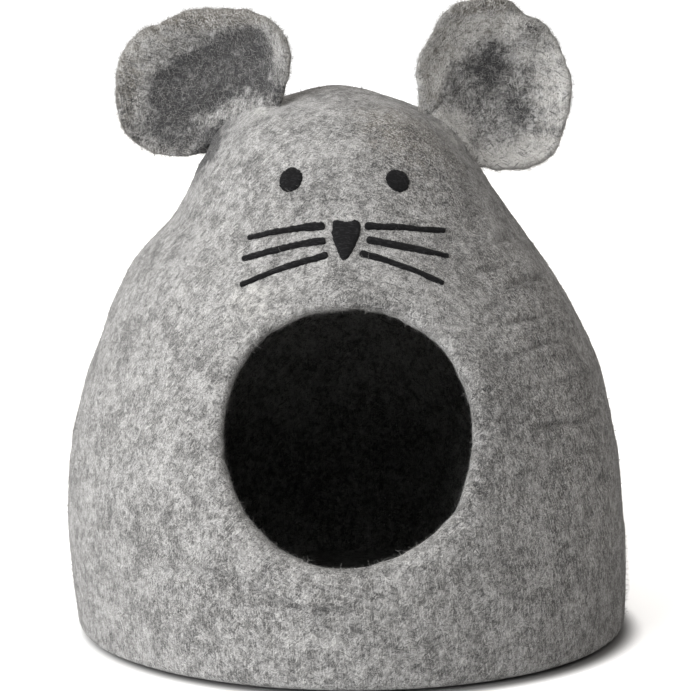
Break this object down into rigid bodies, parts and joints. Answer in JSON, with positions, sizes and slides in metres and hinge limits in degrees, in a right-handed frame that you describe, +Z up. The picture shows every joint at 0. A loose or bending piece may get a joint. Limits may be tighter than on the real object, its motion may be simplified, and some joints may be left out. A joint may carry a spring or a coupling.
{
  "type": "felt pet cave",
  "caption": "Rounded wool felt cave for a small pet, with a flat base, a round doorway, two dished ears and a plain animal face above the doorway.",
  "frame": {"origin": "on the floor under the middle of the dome, on the flat face of the base", "axes": "+Z up, -Y out of the doorway, +X to the right as seen from in front"},
  "size_m": [0.4516, 0.4531, 0.5042],
  "materials": {
    "grey_felt": "matt heather grey wool felt",
    "ear_felt": "matt heather grey wool felt with a charcoal patch",
    "black_felt": "matt black wool felt"
  },
  "bodies": {
    "root": {"body": "grey_felt", "ear_left": "ear_felt", "ear_right": "ear_felt", "eye_left": "black_felt", "eye_right": "black_felt", "nose": "black_felt", "whisker_left_1": "black_felt", "whisker_left_2": "black_felt", "whisker_left_3": "black_felt", "whisker_right_1": "black_felt", "whisker_right_2": "black_felt", "whisker_right_3": "black_felt"}
  },
  "joints": []
}
